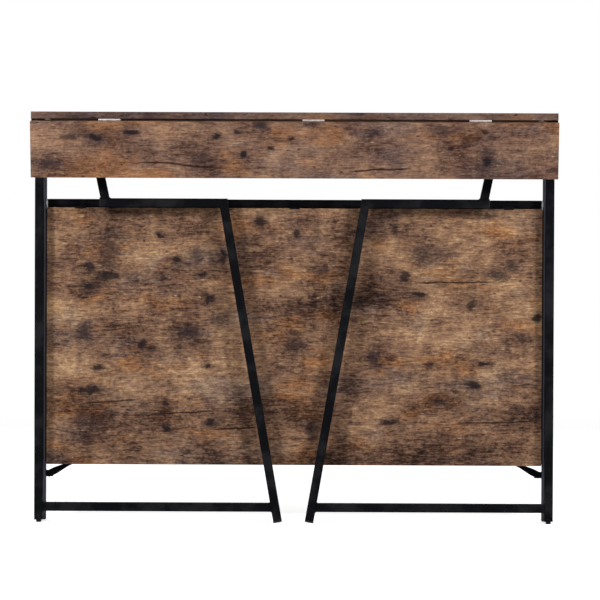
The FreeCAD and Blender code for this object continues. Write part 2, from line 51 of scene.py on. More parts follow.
class Shader:
    """A material and short ways to add and link its nodes."""

    def __init__(self, name):
        self.material = bpy.data.materials.new(name)
        self.material.use_nodes = True
        self.tree = self.material.node_tree
        self.bsdf = self.tree.nodes["Principled BSDF"]
        self.layers = 0

    def node(self, kind, **settings):
        made = self.tree.nodes.new(kind)
        for key, value in settings.items():
            setattr(made, key, value)
        return made

    def link(self, source, target):
        self.tree.links.new(source, target)

    def feed(self, socket, value):
        """Link a socket, or set it where the value is a constant."""
        if isinstance(value, bpy.types.NodeSocket):
            self.link(value, socket)
        else:
            socket.default_value = value

    def math(self, operation, a, b=0.0, c=0.0):
        made = self.node("ShaderNodeMath", operation=operation)
        self.feed(made.inputs[0], a)
        self.feed(made.inputs[1], b)
        self.feed(made.inputs[2], c)
        return made.outputs[0]

    def vector(self, operation, a, b=(0.0, 0.0, 0.0), c=(0.0, 0.0, 0.0)):
        made = self.node("ShaderNodeVectorMath", operation=operation)
        self.feed(made.inputs[0], a)
        self.feed(made.inputs[1], b)
        self.feed(made.inputs[2], c)
        return made.outputs["Value"] if operation == "LENGTH" else made.outputs[0]

    def split(self, vector):
        made = self.node("ShaderNodeSeparateXYZ")
        self.link(vector, made.inputs[0])
        return made.outputs

    def place(self):
        """Position in the desk's own frame, in metres. It moves with the piece."""
        return self.node("ShaderNodeTexCoord").outputs["Object"]

    def noise(self, place, scale, detail=4.0, rough=0.5, output="Fac"):
        """Noise in cycles per metre: one number, or its own for X, Y and Z.

        Each layer of a material looks at another part of the noise.
        """
        made = self.node("ShaderNodeTexNoise")
        self.layers += 1
        offset = tuple(step * self.layers for step in LAYER_STEP)
        scales = (scale, scale, scale) if isinstance(scale, float) else scale
        self.link(self.vector("MULTIPLY_ADD", place, scales, offset), made.inputs["Vector"])
        made.inputs["Scale"].default_value = 1.0
        made.inputs["Detail"].default_value = detail
        made.inputs["Roughness"].default_value = rough
        return made.outputs[output]

    def ramp(self, value, low, high, to_low=0.0, to_high=1.0):
        """Smooth step that turns low to high into to_low to to_high."""
        made = self.node("ShaderNodeMapRange", interpolation_type="SMOOTHSTEP")
        self.feed(made.inputs["Value"], value)
        made.inputs["From Min"].default_value = low
        made.inputs["From Max"].default_value = high
        made.inputs["To Min"].default_value = to_low
        made.inputs["To Max"].default_value = to_high
        return made.outputs["Result"]

    def fall(self, value, low, high, top=1.0):
        """Smooth step from top at low down to 0 at high."""
        return self.ramp(value, low, high, top, 0.0)

    def colours(self, value, stops):
        """Colour ramp through the stops, each a position and a linear colour."""
        made = self.node("ShaderNodeValToRGB")
        elements = made.color_ramp.elements
        while len(elements) < len(stops):
            elements.new(0.5)
        for element, (at, colour) in zip(elements, stops):
            element.position = at
            element.color = (*colour, 1.0)
        self.feed(made.inputs["Fac"], value)
        return made.outputs["Color"]

    def mix(self, amount, a, b, blend="MIX"):
        made = self.node("ShaderNodeMix", data_type="RGBA", blend_type=blend)
        self.feed(made.inputs["Factor"], amount)
        for label, value in (("A", a), ("B", b)):
            socket = next(s for s in made.inputs if s.name == label and s.type == "RGBA")
            self.feed(socket, value if isinstance(value, bpy.types.NodeSocket) else (*value, 1.0))
        return next(s for s in made.outputs if s.type == "RGBA")

    def bump(self, height, strength, distance):
        made = self.node("ShaderNodeBump")
        made.inputs["Strength"].default_value = strength
        made.inputs["Distance"].default_value = distance
        self.link(height, made.inputs["Height"])
        self.link(made.outputs["Normal"], self.bsdf.inputs["Normal"])


def srgb(red, green, blue):
    """Linear colour from 0-255 display values."""
    out = []
    for level in (red, green, blue):
        share = level / 255.0
        out.append(share / 12.92 if share <= 0.04045 else ((share + 0.055) / 1.055) ** 2.4)
    return tuple(out)


# Marks in the boards' print, in metres in the desk's frame: x, z, half width, half height, darkness
DESKTOP_SMUDGES = [
    (-0.432, 0.617, 0.031, 0.066, 0.78),
    (-0.377, 0.717, 0.063, 0.016, 0.62),
    (-0.227, 0.620, 0.018, 0.037, 0.78),
    (-0.252, 0.436, 0.041, 0.024, 0.97),
    (-0.175, 0.471, 0.031, 0.024, 0.94),
    (0.295, 0.618, 0.034, 0.039, 0.97),
    (0.474, 0.573, 0.041, 0.017, 0.97),
    (0.454, 0.716, 0.028, 0.012, 0.88),
    (0.506, 0.596, 0.024, 0.017, 0.81),
    (-0.498, 0.238, 0.026, 0.024, 0.81),
    (-0.490, 0.437, 0.026, 0.026, 0.97),
    (0.005, 0.412, 0.034, 0.026, 0.88),
    (0.057, 0.585, 0.034, 0.016, 0.81),
    (0.041, 0.209, 0.018, 0.024, 0.81),
    (0.187, 0.383, 0.021, 0.037, 0.94),
    (0.538, 0.431, 0.041, 0.013, 0.75),
]
DESKTOP_KNOTS = [
    (-0.479, 0.589, 0.016, 0.015, 0.84),
    (-0.432, 0.569, 0.034, 0.010, 0.84),
    (-0.479, 0.547, 0.015, 0.015, 0.84),
    (-0.312, 0.669, 0.010, 0.008, 0.97),
    (-0.284, 0.608, 0.014, 0.009, 0.95),
    (-0.216, 0.571, 0.014, 0.007, 0.89),
    (-0.198, 0.516, 0.020, 0.010, 0.97),
    (-0.167, 0.614, 0.011, 0.015, 0.79),
    (-0.357, 0.409, 0.015, 0.015, 0.95),
    (-0.458, 0.355, 0.017, 0.008, 0.92),
    (-0.475, 0.306, 0.034, 0.008, 0.97),
    (-0.201, 0.360, 0.010, 0.007, 0.97),
    (-0.300, 0.274, 0.010, 0.009, 0.89),
    (-0.188, 0.231, 0.016, 0.009, 0.97),
    (-0.296, 0.219, 0.011, 0.010, 0.89),
    (-0.084, 0.693, 0.014, 0.016, 0.92),
    (0.005, 0.675, 0.008, 0.010, 0.84),
    (0.234, 0.677, 0.010, 0.015, 0.76),
    (0.255, 0.568, 0.014, 0.013, 0.84),
    (0.293, 0.531, 0.021, 0.010, 0.97),
    (0.417, 0.505, 0.014, 0.013, 0.79),
    (0.566, 0.476, 0.014, 0.015, 0.95),
    (0.436, 0.369, 0.014, 0.008, 0.95),
    (0.416, 0.316, 0.024, 0.008, 0.97),
    (0.312, 0.368, 0.016, 0.010, 0.84),
    (0.340, 0.282, 0.017, 0.007, 0.89),
    (0.227, 0.234, 0.024, 0.008, 0.95),
]
FLAP_SMUDGES = [
    (-0.512, 0.886, 0.034, 0.008, 0.94),
    (-0.451, 0.879, 0.034, 0.020, 0.75),
    (-0.561, 0.825, 0.044, 0.020, 0.90),
    (-0.206, 0.840, 0.046, 0.020, 0.78),
    (-0.079, 0.911, 0.022, 0.012, 0.97),
    (0.041, 0.914, 0.020, 0.011, 0.97),
    (0.186, 0.898, 0.020, 0.012, 0.81),
    (0.333, 0.898, 0.032, 0.013, 0.78),
    (0.435, 0.843, 0.022, 0.030, 0.88),
]
FLAP_KNOTS = [
    (-0.449, 0.885, 0.021, 0.010, 0.97),
    (-0.367, 0.897, 0.024, 0.006, 0.97),
    (-0.176, 0.890, 0.011, 0.009, 0.97),
    (-0.130, 0.901, 0.010, 0.007, 0.89),
    (-0.054, 0.864, 0.010, 0.009, 0.97),
    (-0.111, 0.847, 0.011, 0.010, 0.97),
    (-0.004, 0.882, 0.013, 0.006, 0.89),
    (0.353, 0.863, 0.008, 0.008, 0.84),
    (0.435, 0.831, 0.013, 0.014, 0.95),
    (0.432, 0.899, 0.011, 0.008, 0.84),
]
# Broad lighter and darker areas: x, z, half width, half height, change of lightness. On the desktop
# the darker band along the bottom and the darker area in the middle are painted shade, for light
# falling off towards the floor and shade from the frames
DESKTOP_TONES_AND_SHADE = [
    # Painted shade: darker along the bottom, where the light falls off towards the floor
    (0.000, 0.150, 0.750, 0.085, -0.14),
    (-0.350, 0.680, 0.200, 0.060, -0.14),
    (-0.450, 0.440, 0.180, 0.200, 0.11),
    (-0.235, 0.440, 0.070, 0.100, -0.19),
    (-0.232, 0.292, 0.080, 0.060, 0.27),
    (-0.200, 0.190, 0.100, 0.060, -0.12),
    # Painted shade: darker in the middle, shaded by the frames
    (0.010, 0.555, 0.130, 0.140, -0.16),
    (0.000, 0.340, 0.100, 0.060, 0.10),
    (0.234, 0.385, 0.070, 0.060, -0.19),
    (0.490, 0.440, 0.130, 0.110, 0.24),
    (0.520, 0.215, 0.130, 0.080, -0.16),
    (0.327, 0.664, 0.060, 0.050, 0.12),
]
FLAP_TONES = [
    (0.365, 0.870, 0.085, 0.070, -0.17),
    (0.069, 0.870, 0.085, 0.070, 0.17),
    (-0.077, 0.900, 0.075, 0.030, -0.17),
    (-0.370, 0.845, 0.070, 0.030, -0.11),
]
# Cracks along the grain: from x, to x, z at the start, slope
DESKTOP_CRACKS = [
    (-0.375, -0.169, 0.245, 0.054),
    (0.269, 0.479, 0.557, 0.004),
    (-0.487, -0.354, 0.274, 0.052),
    (-0.199, -0.073, 0.214, 0.042),
    (0.369, 0.574, 0.231, 0.005),
]
FLAP_CRACKS = [
    (0.116, 0.275, 0.809, 0.059),
    (-0.376, -0.163, 0.832, -0.069),
]

# Colours of the print, from its darkest to its lightest wood
WOOD_STOPS = [
    (0.04, srgb(38, 28, 24)),
    (0.28, srgb(78, 56, 45)),
    (0.50, srgb(116, 87, 68)),
    (0.68, srgb(142, 108, 82)),
    (0.86, srgb(164, 129, 96)),
    (1.00, srgb(190, 155, 116)),
]
GREY_CAST = (0.80, 0.88, 1.04)
WARM_CAST = (1.16, 0.98, 0.76)
FLECK_COLOUR = srgb(206, 172, 128)
SMUDGE_COLOUR = srgb(40, 34, 37)
KNOT_COLOUR = srgb(32, 27, 29)
WORN_COLOUR = srgb(40, 29, 25)

# How far the slow waver bends the grain, the marks and the cracks, in metres
GRAIN_BEND = (0.030, 0.010, 0.010)
MARK_BEND = (0.045, 0.0, 0.036)
CRACK_BEND = (0.020, 0.0, 0.014)

# How strongly the marks show
MARK_STRENGTH = 0.92
HOLE_STRENGTH = 0.75
CRACK_STRENGTH = 0.90

# Cells of the pin holes per metre
HOLE_CELLS = (34.0, 60.0, 60.0)

# Where a broad tone begins to fade and has faded, 1 at its rim
TONE_CORE = 0.2
TONE_RIM = 1.3

# A knot's halo against the knot itself
HALO_WIDE = 2.0
HALO_HIGH = 2.2
HALO_DEPTH = 0.46

# A crack's half thickness, dark and faded out, and the share of its length before it fades
CRACK_CORE = 0.0010
CRACK_RIM = 0.0026
CRACK_EVEN = 0.6


def wood(name, shift, smudges=(), knots=(), cracks=(), tones_and_shade=(), tint=None, contrast=1.0):
    """Rustic brown board: patches, fibres along X, smudges, knots, pin holes and cracks.

    Shift moves the noise, so that boards differ. Tint multiplies the finished colour.
    """
    s = Shader(name)
    place = s.place()
    moved = s.vector("ADD", place, shift)

    def grain(where, along, across, detail, rough, output="Fac"):
        """Noise with one scale along the grain, which runs along X, and one across it."""
        return s.noise(where, (along, across, across), detail, rough, output)

    # Slow waver that bends every streak, edge and mark a little
    waver = grain(moved, along=14.0, across=30.0, detail=4.0, rough=0.6, output="Color")
    waver = s.vector("SUBTRACT", waver, (0.5, 0.5, 0.5))
    bent = s.vector("MULTIPLY_ADD", waver, GRAIN_BEND, moved)
    mark_place = s.vector("MULTIPLY_ADD", waver, MARK_BEND, place)

    def away_from(x, z, half_wide, half_high):
        """Distance from a mark's middle, 1 at its rim."""
        scale = (1.0 / half_wide, 0.0, 1.0 / half_high)
        offset = (-x / half_wide, 0.0, -z / half_high)
        return s.vector("LENGTH", s.vector("MULTIPLY_ADD", mark_place, scale, offset))

    # Lightness: patches, streaks and fibres along the grain, bars across it, mottle, broad tones and
    # painted shade
    patches = grain(bent, along=6.5, across=12.0, detail=4.0, rough=0.46)
    streaks = grain(bent, along=26.0, across=110.0, detail=3.0, rough=0.60)
    fibres = grain(moved, along=32.0, across=420.0, detail=3.0, rough=0.72)
    bars = grain(bent, along=45.0, across=16.0, detail=3.0, rough=0.60)
    mottle = grain(bent, along=110.0, across=170.0, detail=3.0, rough=0.74)
    layers = ((patches, 1.40), (streaks, 0.65), (fibres, 1.15), (bars, 0.35), (mottle, 1.05))
    light = 0.5 - contrast * sum(weight for layer, weight in layers) / 2.0
    for layer, weight in layers:
        light = s.math("MULTIPLY_ADD", layer, contrast * weight, light)
    # Broad tones, and on the desktop painted shade along the bottom and in the middle
    for x, z, half_wide, half_high, change in tones_and_shade:
        away = away_from(x, z, half_wide, half_high)
        light = s.math("ADD", light, s.fall(away, TONE_CORE, TONE_RIM, change))
    ground = s.colours(light, WOOD_STOPS)

    # Slow drift between grey brown and a warmer brown, and pale flecks
    drift = grain(bent, along=5.0, across=11.0, detail=4.0, rough=0.6)
    greyed = s.ramp(drift, low=0.50, high=0.64)
    ground = s.mix(greyed, ground, GREY_CAST, blend="MULTIPLY")
    warm = grain(bent, along=6.0, across=15.0, detail=4.0, rough=0.6)
    warmed = s.ramp(warm, low=0.52, high=0.66)
    ground = s.mix(warmed, ground, WARM_CAST, blend="MULTIPLY")
    flecks = grain(bent, along=45.0, across=140.0, detail=3.0, rough=0.6)
    flecked = s.ramp(flecks, low=0.66, high=0.78, to_high=0.50)
    ground = s.mix(flecked, ground, FLECK_COLOUR)

    # Loose marks anywhere on the board: clouds, smears across the grain and pores
    ragged = grain(bent, along=110.0, across=240.0, detail=4.0, rough=0.70)
    clouds = grain(bent, along=18.0, across=28.0, detail=6.0, rough=0.66)
    smears = grain(bent, along=60.0, across=32.0, detail=4.0, rough=0.62)
    pores = grain(moved, along=70.0, across=420.0, detail=2.0, rough=0.6)
    dark = s.ramp(clouds, low=0.61, high=0.76, to_high=0.42)
    dark = s.math("MAXIMUM", dark, s.ramp(smears, low=0.62, high=0.78, to_high=0.42))
    dark = s.math("MAXIMUM", dark, s.ramp(pores, low=0.62, high=0.72, to_high=0.45))

    def spread(marks, core, rim, fray):
        """Mask of marks that fade from core to rim, with a rim frayed by noise."""
        total = None
        for x, z, half_wide, half_high, depth in marks:
            away = s.math("MULTIPLY_ADD", ragged, fray, away_from(x, z, half_wide, half_high))
            mask = s.fall(away, core + fray / 2.0, rim + fray / 2.0, depth)
            total = mask if total is None else s.math("MAXIMUM", total, mask)
        return total

    # Smudges and knots in their places, the knots in soft halos
    if smudges:
        smudged = spread(smudges, core=0.10, rim=1.30, fray=2.6)
        dark = s.math("MAXIMUM", dark, s.math("MULTIPLY", smudged, MARK_STRENGTH))
    if knots:
        halos = []
        for x, z, half_wide, half_high, depth in knots:
            halos.append((x, z, HALO_WIDE * half_wide, HALO_HIGH * half_high, HALO_DEPTH * depth))
        dark = s.math("MAXIMUM", dark, spread(halos, core=0.10, rim=1.30, fray=2.4))
    streaky = s.math("MULTIPLY", dark, s.ramp(fibres, low=0.30, high=0.60, to_low=0.70))
    ground = s.mix(streaky, ground, SMUDGE_COLOUR)
    if knots:
        knotted = spread(knots, core=0.45, rim=1.15, fray=1.3)
        ground = s.mix(s.math("MULTIPLY", knotted, MARK_STRENGTH), ground, KNOT_COLOUR)

    # Pin holes in some cells of a cell pattern
    holes = s.node("ShaderNodeTexVoronoi", feature="F1")
    s.link(s.vector("MULTIPLY", bent, HOLE_CELLS), holes.inputs["Vector"])
    holes.inputs["Scale"].default_value = 1.0
    chosen = s.ramp(s.split(holes.outputs["Color"])[0], low=0.72, high=0.80)
    spots = s.fall(holes.outputs["Distance"], low=0.06, high=0.22)
    hole = s.math("MULTIPLY", spots, chosen)

    # Cracks: thin loose ones along a noise's middle level, then those in their places
    level = grain(bent, along=2.2, across=18.0, detail=2.0, rough=0.45)
    off_level = s.math("ABSOLUTE", s.math("SUBTRACT", level, 0.5))
    thin = s.fall(off_level, low=0.0, high=0.004)
    crack = s.math("MULTIPLY", thin, s.ramp(drift, low=0.53, high=0.62))
    crack_place = s.split(s.vector("MULTIPLY_ADD", waver, CRACK_BEND, place))
    for start, end, height, slope in cracks:
        middle = (start + end) / 2.0
        reach = (end - start) / 2.0
        rise = s.math("MULTIPLY_ADD", crack_place[0], -slope, slope * start - height)
        off_line = s.math("ABSOLUTE", s.math("ADD", crack_place[2], rise))
        off_middle = s.math("ABSOLUTE", s.math("SUBTRACT", crack_place[0], middle))
        fade = s.fall(off_middle, reach * CRACK_EVEN, reach)
        line = s.math("MULTIPLY", s.fall(off_line, CRACK_CORE, CRACK_RIM), fade)
        crack = s.math("MAXIMUM", crack, line)
    hole = s.math("MULTIPLY", hole, HOLE_STRENGTH)
    worn = s.math("MAXIMUM", hole, s.math("MULTIPLY", crack, CRACK_STRENGTH))
    ground = s.mix(worn, ground, WORN_COLOUR)
    if tint:
        ground = s.mix(1.0, ground, tint, blend="MULTIPLY")

    # Printed foil: no mirror shine, slight relief in the fibres, holes and cracks
    s.link(ground, s.bsdf.inputs["Base Color"])
    matt = s.ramp(streaks, low=0.3, high=0.7, to_low=0.56, to_high=0.70)
    s.link(matt, s.bsdf.inputs["Roughness"])
    s.bsdf.inputs["Specular IOR Level"].default_value = 0.0
    relief = s.math("MULTIPLY_ADD", fibres, -0.4, s.math("MULTIPLY", worn, -1.0))
    s.bump(relief, strength=0.22, distance=0.0005)
    return s.material


# Powder coat in its darker and lighter clouds, and where edges are rubbed
COAT_DARK = (0.0034, 0.0036, 0.0046)
COAT_LIGHT = (0.0052, 0.0055, 0.0070)
COAT_RUBBED = (0.030, 0.030, 0.032)
ZINC_DULL = (0.30, 0.27, 0.26)
ZINC_BRIGHT = (0.46, 0.42, 0.41)


def painted_steel(name, rough, shine, paler=1.0):
    """Black powder coat: fine orange peel, slight cloudiness, edges rubbed a little paler.

    Rough is its middle roughness, shine its specular level, and paler multiplies its colour; above 1
    that is painted sheen, a lighter copy of the same coat.
    """
    s = Shader(name)
    place = s.place()
    cloud = s.noise(place, 14.0, detail=4.0, rough=0.6)
    grain = s.noise(place, 900.0, detail=2.0)
    low = tuple(paler * level for level in COAT_DARK)
    high = tuple(paler * level for level in COAT_LIGHT)
    base = s.colours(cloud, [(0.3, low), (0.7, high)])
    edge = s.node("ShaderNodeNewGeometry").outputs["Pointiness"]
    sharp = s.ramp(edge, low=0.53, high=0.60)
    handled = s.ramp(cloud, low=0.45, high=0.62, to_high=0.30)
    base = s.mix(s.math("MULTIPLY", sharp, handled), base, COAT_RUBBED)
    s.link(base, s.bsdf.inputs["Base Color"])
    patchy = s.noise(place, 60.0)
    s.link(s.ramp(patchy, 0.3, 0.7, rough - 0.05, rough + 0.05), s.bsdf.inputs["Roughness"])
    s.bsdf.inputs["Specular IOR Level"].default_value = shine
    s.bump(grain, strength=0.10, distance=0.0003)
    return s.material


def zinc(name):
    """Bright zinc-plated steel with fine brushing and a few duller patches."""
    s = Shader(name)
    place = s.place()
    brushed = s.noise(place, (60.0, 1800.0, 1800.0), detail=2.0)
    cloud = s.noise(place, 120.0, detail=3.0)
    base = s.colours(cloud, [(0.3, ZINC_DULL), (0.7, ZINC_BRIGHT)])
    s.link(base, s.bsdf.inputs["Base Color"])
    s.bsdf.inputs["Metallic"].default_value = 0.85
    satin = s.ramp(brushed, low=0.3, high=0.7, to_low=0.34, to_high=0.52)
    s.link(satin, s.bsdf.inputs["Roughness"])
    s.bump(brushed, strength=0.12, distance=0.0002)
    return s.material


def moulded(name, low, high, rough, shine):
    """Plastic, rubber or felt with a fine matt grain, cloudy between two colours."""
    s = Shader(name)
    place = s.place()
    cloud = s.noise(place, 40.0, detail=3.0)
    grain = s.noise(place, 1400.0, detail=2.0)
    s.link(s.colours(cloud, [(0.3, low), (0.7, high)]), s.bsdf.inputs["Base Color"])
    s.link(s.ramp(grain, 0.3, 0.7, rough - 0.06, rough + 0.06), s.bsdf.inputs["Roughness"])
    s.bsdf.inputs["Specular IOR Level"].default_value = shine
    s.bump(grain, strength=0.15, distance=0.0002)
    return s.material


# Materials of single nodes, and of the record's slots for all the others
looks = {
    "desktop_panel": wood(
        "wood_desktop",
        (0.0, 0.0, 0.0),
        DESKTOP_SMUDGES,
        DESKTOP_KNOTS,
        DESKTOP_CRACKS,
        # Broad tones, with painted shade along the bottom and in the middle
        DESKTOP_TONES_AND_SHADE,
        tint=(1.00, 1.03, 1.08),
    ),
    "flap_board": wood(
        "wood_flap",
        (3.1, 0.7, 1.9),
        FLAP_SMUDGES,
        FLAP_KNOTS,
        FLAP_CRACKS,
        FLAP_TONES,
        tint=(0.93, 0.97, 1.10),
        contrast=0.76,
    ),
    "shelf_board": wood("wood_shelf", (-2.3, 1.3, 4.7), tint=(0.69, 0.77, 1.00), contrast=0.60),
    # Pivot bar: no shine, and its coat twice as pale as painted sheen in place of its reflection
    "pivot_bar": painted_steel("bar_coat_painted_sheen", rough=0.60, shine=0.0, paler=2.0),
    # Rear legs: the same black coat twelve times paler, a painted highlight for the light on them
    # beside the posts
    "rear_leg_left": painted_steel("rear_coat_painted_highlight", rough=0.55, shine=0.05, paler=12.0),
    "seam_pads": moulded(
        "pad_felt",
        low=(0.14, 0.12, 0.11),
        high=(0.22, 0.19, 0.18),
        rough=0.80,
        shine=0.1,
    ),
}
looks["rear_leg_right"] = looks["rear_leg_left"]
slot_looks = {
    "black_steel": painted_steel("powder_coat", rough=0.64, shine=0.018),
    "bright_steel": zinc("zinc_plate"),
    "black_plastic": moulded(
        "black_plastic",
        low=(0.006, 0.006, 0.007),
        high=(0.012, 0.012, 0.013),
        rough=0.55,
        shine=0.12,
    ),
    "white_nylon": moulded(
        "white_nylon",
        low=(0.60, 0.60, 0.59),
        high=(0.72, 0.72, 0.71),
        rough=0.48,
        shine=0.4,
    ),
    "black_rubber": moulded(
        "black_rubber",
        low=(0.008, 0.008, 0.008),
        high=(0.015, 0.015, 0.015),
        rough=0.72,
        shine=0.12,
    ),
}
slot_of = {row["node"]: row["material_slot"] for row in frame["record"]["subparts"]}


def dress(obj, material):
    obj.data.materials.clear()
    obj.data.materials.append(material)


for name, obj in nodes.items():
    dress(obj, looks.get(name) or slot_looks[slot_of[name]])


# Directions
RIGHT = Vector((1.0, 0.0, 0.0))
BACK = Vector((0.0, 1.0, 0.0))
UP = Vector((0.0, 0.0, 1.0))
DOWN = UP * -1.0

# Places of the tubes, in metres in the desk's frame
TUBE_HALF = 0.010
TUBE_CORNER = 0.0024
POST = (-0.590, 0.021)
INNER_X = 0.580
OUTER_X = 0.600
REAR_LEG_Y = 0.085
BAR_Z = 0.740
BOTTOM_Z = 0.036
TOP_Z = 0.903
RAIL_Z = 0.914


def at(reach, height):
    """Point in the left swing frame, folded: reach runs from the post to the desk's middle."""
    return Vector((POST[0] + reach, POST[1], height))


LEG_CORNER = at(0.426, BAR_Z)
LEG_DOWN = Vector((0.128, 0.0, -BAR_Z)).normalized()
LEG_OUT = BACK.cross(LEG_DOWN)
ARM_FOOT = at(0.1537, BAR_Z)
ARM_CORNER = at(0.1198, TOP_Z)
ARM_DOWN = (ARM_FOOT - ARM_CORNER).normalized()

# Weld beads: radii, points along a straight side and round a corner, sides of the bead itself
JOINT_WELD = 0.0017
ARM_WELD = 0.0022
MITRE_WELD = 0.0007
SIDE_POINTS = 22
CORNER_POINTS = 4
BEAD_SIDES = 8
# Beads stay inside the rear legs' back face
BEAD_LIMIT_Y = 0.0949


class Builder:
    """Collects points and faces of one mesh piece."""

    def __init__(self):
        self.points = []
        self.faces = []

    def rings(self, rings, closed):
        """Skin a run of rings that all have the same number of points."""
        base = len(self.points)
        count = len(rings[0])
        for ring in rings:
            self.points.extend(ring)
        runs = len(rings) if closed else len(rings) - 1
        for i in range(runs):
            low = base + i * count
            high = base + (i + 1) % len(rings) * count
            for j in range(count):
                k = (j + 1) % count
                self.faces.append((low + j, low + k, high + k, high + j))
        return base

    def fan(self, centre, first, count, flip):
        """Close a ring with triangles to a middle point."""
        self.points.append(centre)
        tip = len(self.points) - 1
        for j in range(count):
            k = (j + 1) % count
            ends = (first + k, first + j) if flip else (first + j, first + k)
            self.faces.append((tip, *ends))

    def make(self, name, body, slot, material, replaced=()):
        """Make the piece, put it on its body and hide the nodes that it replaces; slot is not used.
        """
        mesh = bpy.data.meshes.new(name)
        mesh.from_pydata([tuple(p) for p in self.points], [], self.faces)
        mesh.validate()
        mesh.update()
        for face in mesh.polygons:
            face.use_smooth = True
        obj = bpy.data.objects.new(name, mesh)
        bpy.context.collection.objects.link(obj)
        obj.data.materials.append(material)
        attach(obj, body)
        if replaced:
            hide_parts(*replaced)


# Welds: rippled beads round the ends of the tubes
def square_loop():
    """Points round a tube's rounded square section."""
    points = []
    flat = TUBE_HALF - TUBE_CORNER
    for side in range(4):
        turn = side * math.pi / 2.0
        for i in range(SIDE_POINTS):
            share = i / SIDE_POINTS
            points.append((TUBE_HALF, -flat + 2.0 * flat * share, turn))
        for i in range(CORNER_POINTS):
            angle = i / CORNER_POINTS * math.pi / 2.0
            a = flat + TUBE_CORNER * math.cos(angle)
            b = flat + TUBE_CORNER * math.sin(angle)
            points.append((a, b, turn))
    loop = []
    for a, b, turn in points:
        cosine = math.cos(turn)
        sine = math.sin(turn)
        loop.append((a * cosine - b * sine, a * sine + b * cosine))
    return loop


def bead(build, along, centre, point, normal, radius, mirror):
    """Weld round a square tube where its end meets a plane, or its mirror image."""
    across = along.cross(BACK)
    path = []
    for a, b in square_loop():
        p = centre + BACK * a + across * b
        p = p + along * ((point - p).dot(normal) / along.dot(normal))
        path.append(p)
    middle = sum(path, Vector()) / len(path)
    rings = []
    for i, p in enumerate(path):
        tangent = (path[(i + 1) % len(path)] - path[i - 1]).normalized()
        outward = p - middle
        outward = (outward - tangent * outward.dot(tangent)).normalized()
        other = tangent.cross(outward)
        # A short and a long ripple along the bead
        size = radius * (1.0 + 0.13 * math.sin(i * 2.1) + 0.05 * math.sin(i * 0.7))
        ring = []
        for k in range(BEAD_SIDES):
            angle = 2.0 * math.pi * k / BEAD_SIDES
            q = p + outward * (size * math.cos(angle)) + other * (size * math.sin(angle))
            q.y = min(q.y, BEAD_LIMIT_Y)
            ring.append(Vector((-q.x, q.y, q.z)) if mirror else q)
        rings.append(ring[::-1] if mirror else ring)
    build.rings(rings, True)


def frame_welds(mirror):
    """Beads of the left swing frame, or of the right one."""
    build = Builder()
    bottom = at(0.0, BOTTOM_Z)
    top = at(0.0, TOP_Z)
    inner = Vector((-INNER_X, POST[1], 0.0))
    leg_face = LEG_CORNER + LEG_OUT * TUBE_HALF
    deck = ARM_FOOT + UP * TUBE_HALF
    leg_mitre = (RIGHT + LEG_DOWN).normalized()
    arm_mitre = (RIGHT + ARM_DOWN).normalized()
    bead(build, RIGHT, bottom, inner, RIGHT, JOINT_WELD, mirror)
    bead(build, RIGHT, bottom, leg_face, LEG_OUT, JOINT_WELD, mirror)
    bead(build, RIGHT, top, inner, RIGHT, JOINT_WELD, mirror)
    bead(build, ARM_DOWN, ARM_FOOT, deck, UP, ARM_WELD, mirror)
    bead(build, RIGHT, LEG_CORNER, LEG_CORNER, leg_mitre, MITRE_WELD, mirror)
    bead(build, RIGHT, ARM_CORNER, ARM_CORNER, arm_mitre, MITRE_WELD, mirror)
    return build


steel = slot_looks["black_steel"]
bright = slot_looks["bright_steel"]
frame_welds(False).make("left_welds", "left_frame", "black_steel", steel)
frame_welds(True).make("right_welds", "right_frame", "black_steel", steel)
rail_welds = Builder()
rail_middle = Vector((0.0, REAR_LEG_Y, RAIL_Z))
rail_end = Vector((-INNER_X, REAR_LEG_Y, RAIL_Z))
for mirrored in (False, True):
    bead(rail_welds, RIGHT, rail_middle, rail_end, RIGHT, JOINT_WELD, mirrored)
rail_welds.make("rail_welds", "rear_frame", "black_steel", steel)


# Screws and bolts: turned heads with a driven recess
def sunk_share(near, wall):
    """Depth share in a recess: near is 1 at its rim, and wall is the slope's share inside it."""
    return 1.0 if near < 1.0 - wall else max(0.0, (1.0 - near) / wall)


def cross_recess(x, y):
    """Depth share of a cross recess, over a head of radius 1."""
    half_arm = 0.13
    reach = 0.62
    level_arm = max(abs(x) / reach, abs(y) / half_arm)
    upright_arm = max(abs(y) / reach, abs(x) / half_arm)
    return sunk_share(min(level_arm, upright_arm), 0.2)


def hex_recess(x, y):
    """Depth share of a hexagon socket, over a head of radius 1."""
    half_flats = 0.5
    near = 0.0
    for k in range(3):
        angle = k * math.pi / 3.0
        near = max(near, abs(x * math.cos(angle) + y * math.sin(angle)) / half_flats)
    return sunk_share(near, 0.1)


# Heads: radius, height, recess and its depth
SCREW_HEAD = (0.004, 0.0022, cross_recess, 0.0012)
PIVOT_HEAD = (0.0065, 0.0025, hex_recess, 0.0016)
BRACE_HEAD = (0.005, 0.003, hex_recess, 0.0018)
LEAF_HEAD = (0.0029, 0.0004, cross_recess, 0.0003)

# Shanks: radius and length
PIVOT_SHANK = (0.0039, 0.0535)
BRACE_SHANK = (0.0029, 0.006)

# A head's mesh: points in a ring, rings on its dome, the dome's share of the radius and its fall
HEAD_POINTS = 48
DOME_RINGS = 18
DOME_SHARE = 0.92
DOME_FALL = 0.38
# Rings below the dome, as shares of the head's radius and height
HEAD_EDGE = ((0.98, 0.58), (1.0, 0.40), (1.0, 0.0))


